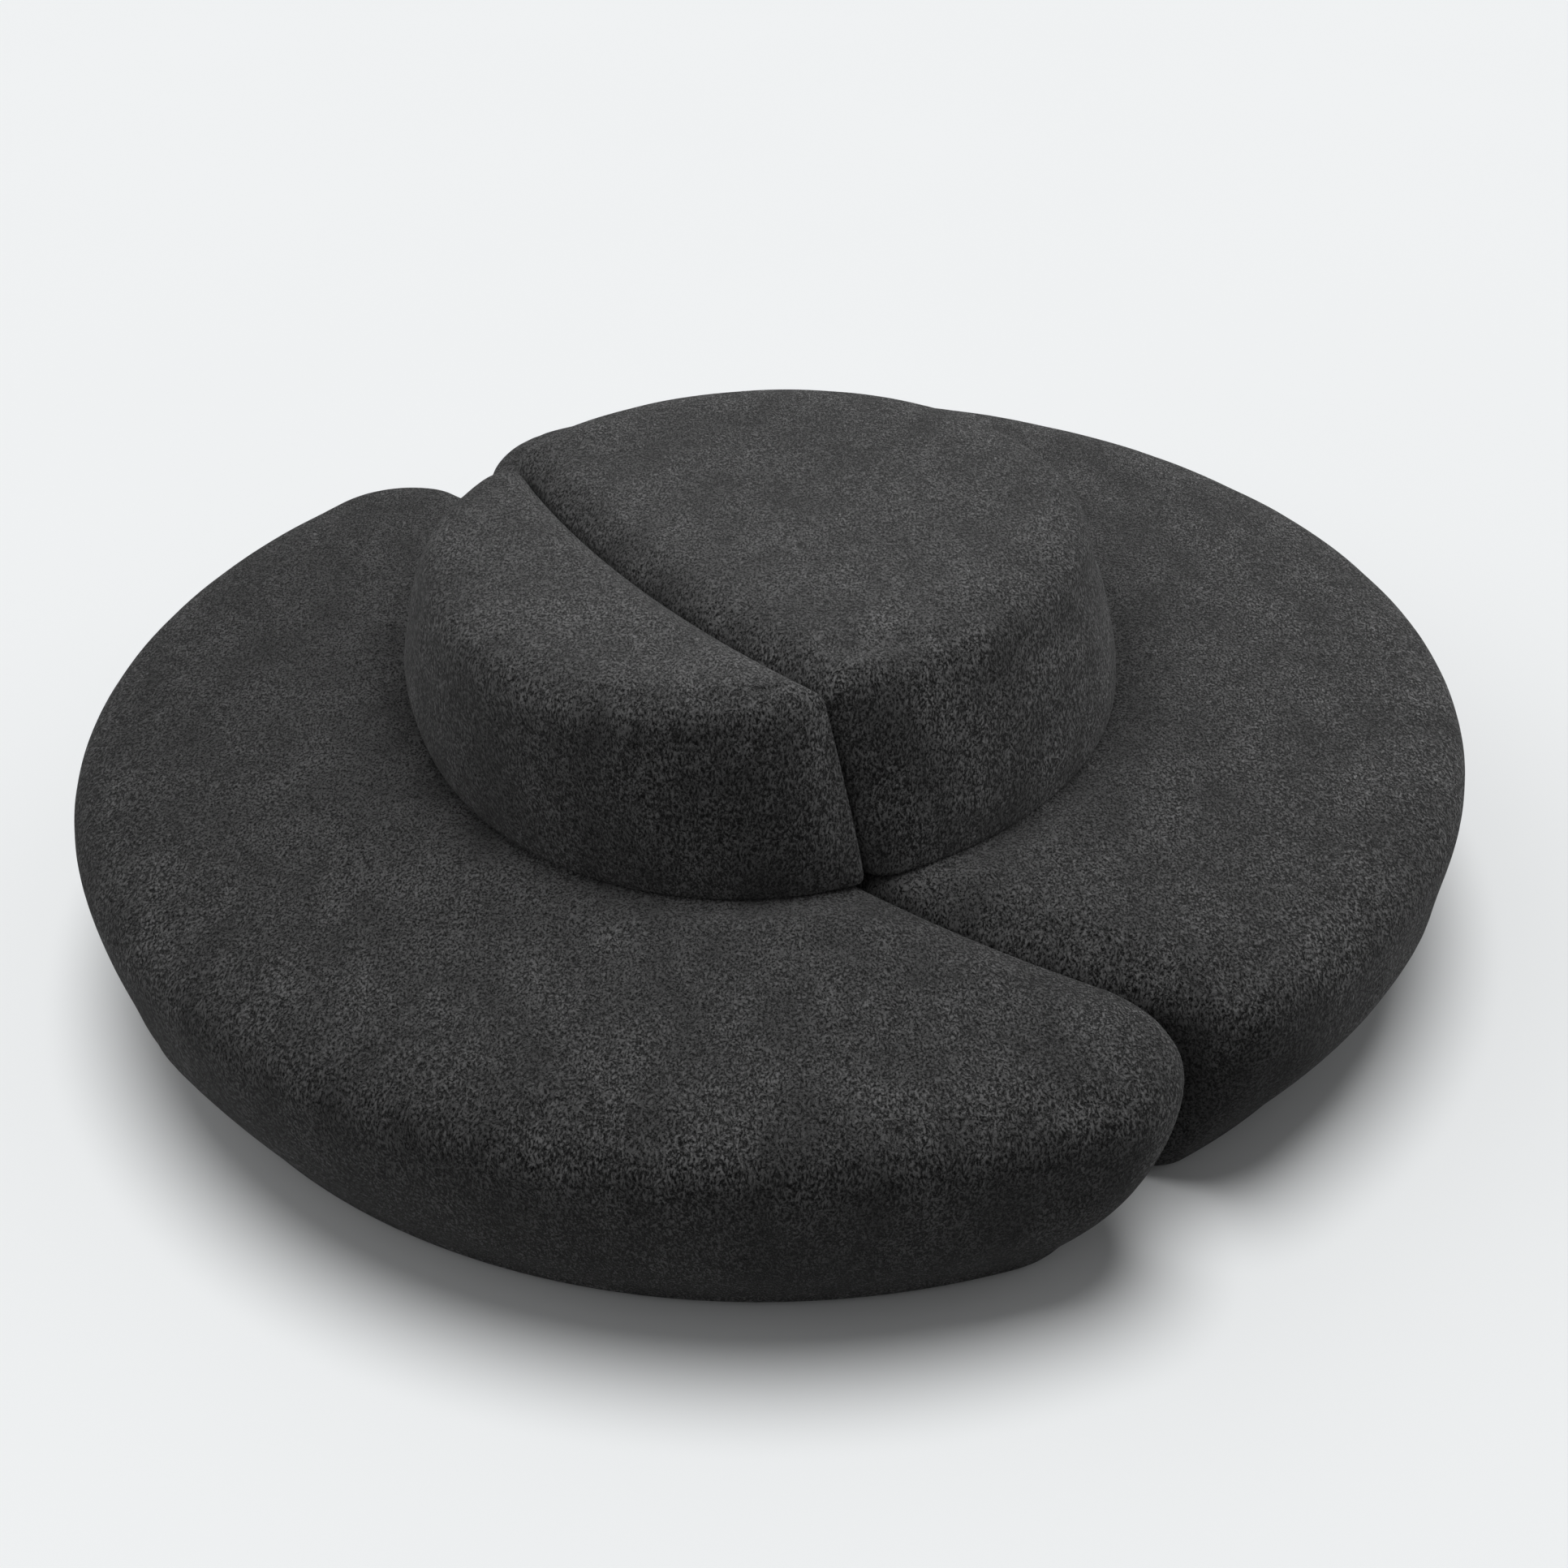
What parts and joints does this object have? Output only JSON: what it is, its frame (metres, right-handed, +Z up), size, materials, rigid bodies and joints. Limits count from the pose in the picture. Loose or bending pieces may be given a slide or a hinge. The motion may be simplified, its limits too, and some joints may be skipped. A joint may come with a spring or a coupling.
{
  "type": "modular sofa",
  "caption": "Low round island sofa of nesting upholstered modules: wide crescent seats around a drum-shaped backrest that a curved seam splits, in dark boucle.",
  "frame": {"origin": "on the floor, under the middle of the island's bounding box", "axes": "+Z up; -Y towards the front of the island, where the crescent seat is widest; +X to the right seen from the front"},
  "size_m": [2.6134, 2.6873, 0.744],
  "materials": {
    "boucle_cover": "dark charcoal boucle upholstery, matt",
    "foam": "cut polyurethane foam with wadding",
    "plywood": "raw birch plywood",
    "dust_cloth": "black spun-bonded lining cloth",
    "webbing": "woven elastic webbing",
    "glide_plastic": "moulded black nylon",
    "zinc_steel": "zinc plated"
  },
  "bodies": {
    "rear_module": {"rear_seat_cover": "boucle_cover", "rear_seat_foam": "foam", "rear_seat_deck": "plywood", "rear_base_board": "plywood", "rear_seat_rim": "plywood", "rear_seat_rib_1": "plywood", "rear_seat_rib_2": "plywood", "rear_seat_rib_3": "plywood", "rear_dust_cover": "dust_cloth", "rear_strap_mat_left": "webbing", "rear_strap_mat_right": "webbing", "rear_glide_1": "glide_plastic", "rear_glide_2": "glide_plastic", "rear_glide_3": "glide_plastic", "rear_glide_4": "glide_plastic", "rear_glide_5": "glide_plastic", "rear_back_cover": "boucle_cover", "rear_back_foam": "foam", "rear_back_foot_board": "plywood", "rear_back_panel": "plywood", "rear_back_top_board": "plywood", "rear_back_rib_1": "plywood", "rear_back_stand": "zinc_steel", "rear_back_bolt_1": "zinc_steel", "rear_back_bolt_2": "zinc_steel", "rear_back_bolt_3": "zinc_steel", "rear_back_rib_2": "plywood", "rear_link_stud_left": "zinc_steel", "rear_link_stud_right": "zinc_steel"},
    "front_module": {"front_seat_cover": "boucle_cover", "front_seat_foam": "foam", "front_seat_deck": "plywood", "front_base_board": "plywood", "front_seat_rim": "plywood", "front_seat_rib_1": "plywood", "front_seat_rib_2": "plywood", "front_seat_rib_3": "plywood", "front_dust_cover": "dust_cloth", "front_strap_mat_left": "webbing", "front_strap_mat_right": "webbing", "front_glide_1": "glide_plastic", "front_glide_2": "glide_plastic", "front_glide_3": "glide_plastic", "front_glide_4": "glide_plastic", "front_glide_5": "glide_plastic", "front_back_cover": "boucle_cover", "front_back_foam": "foam", "front_back_foot_board": "plywood", "front_back_panel": "plywood", "front_back_top_board": "plywood", "front_back_rib_1": "plywood", "front_back_stand": "zinc_steel", "front_back_bolt_1": "zinc_steel", "front_back_bolt_2": "zinc_steel", "front_back_bolt_3": "zinc_steel", "front_hook_screw_left": "zinc_steel", "front_hook_screw_right": "zinc_steel"},
    "hook_left": {"front_link_hook_left": "zinc_steel"},
    "hook_right": {"front_link_hook_right": "zinc_steel"}
  },
  "joints": [
    {"name": "front_module_slide", "type": "slide", "parent": "rear_module", "child": "front_module", "axis": [-0.821, -0.5709, 0], "range_m": [0, 0.6]},
    {"name": "hook_left_swing", "type": "hinge", "parent": "front_module", "child": "hook_left", "pos_m": [-0.61267, 0.2819, 0.0075], "axis": [0, 0, 1], "range_deg": [0, 95]},
    {"name": "hook_right_swing", "type": "hinge", "parent": "front_module", "child": "hook_right", "pos_m": [0.05092, -0.67252, 0.0075], "axis": [0, 0, -1], "range_deg": [0, 95]}
  ]
}
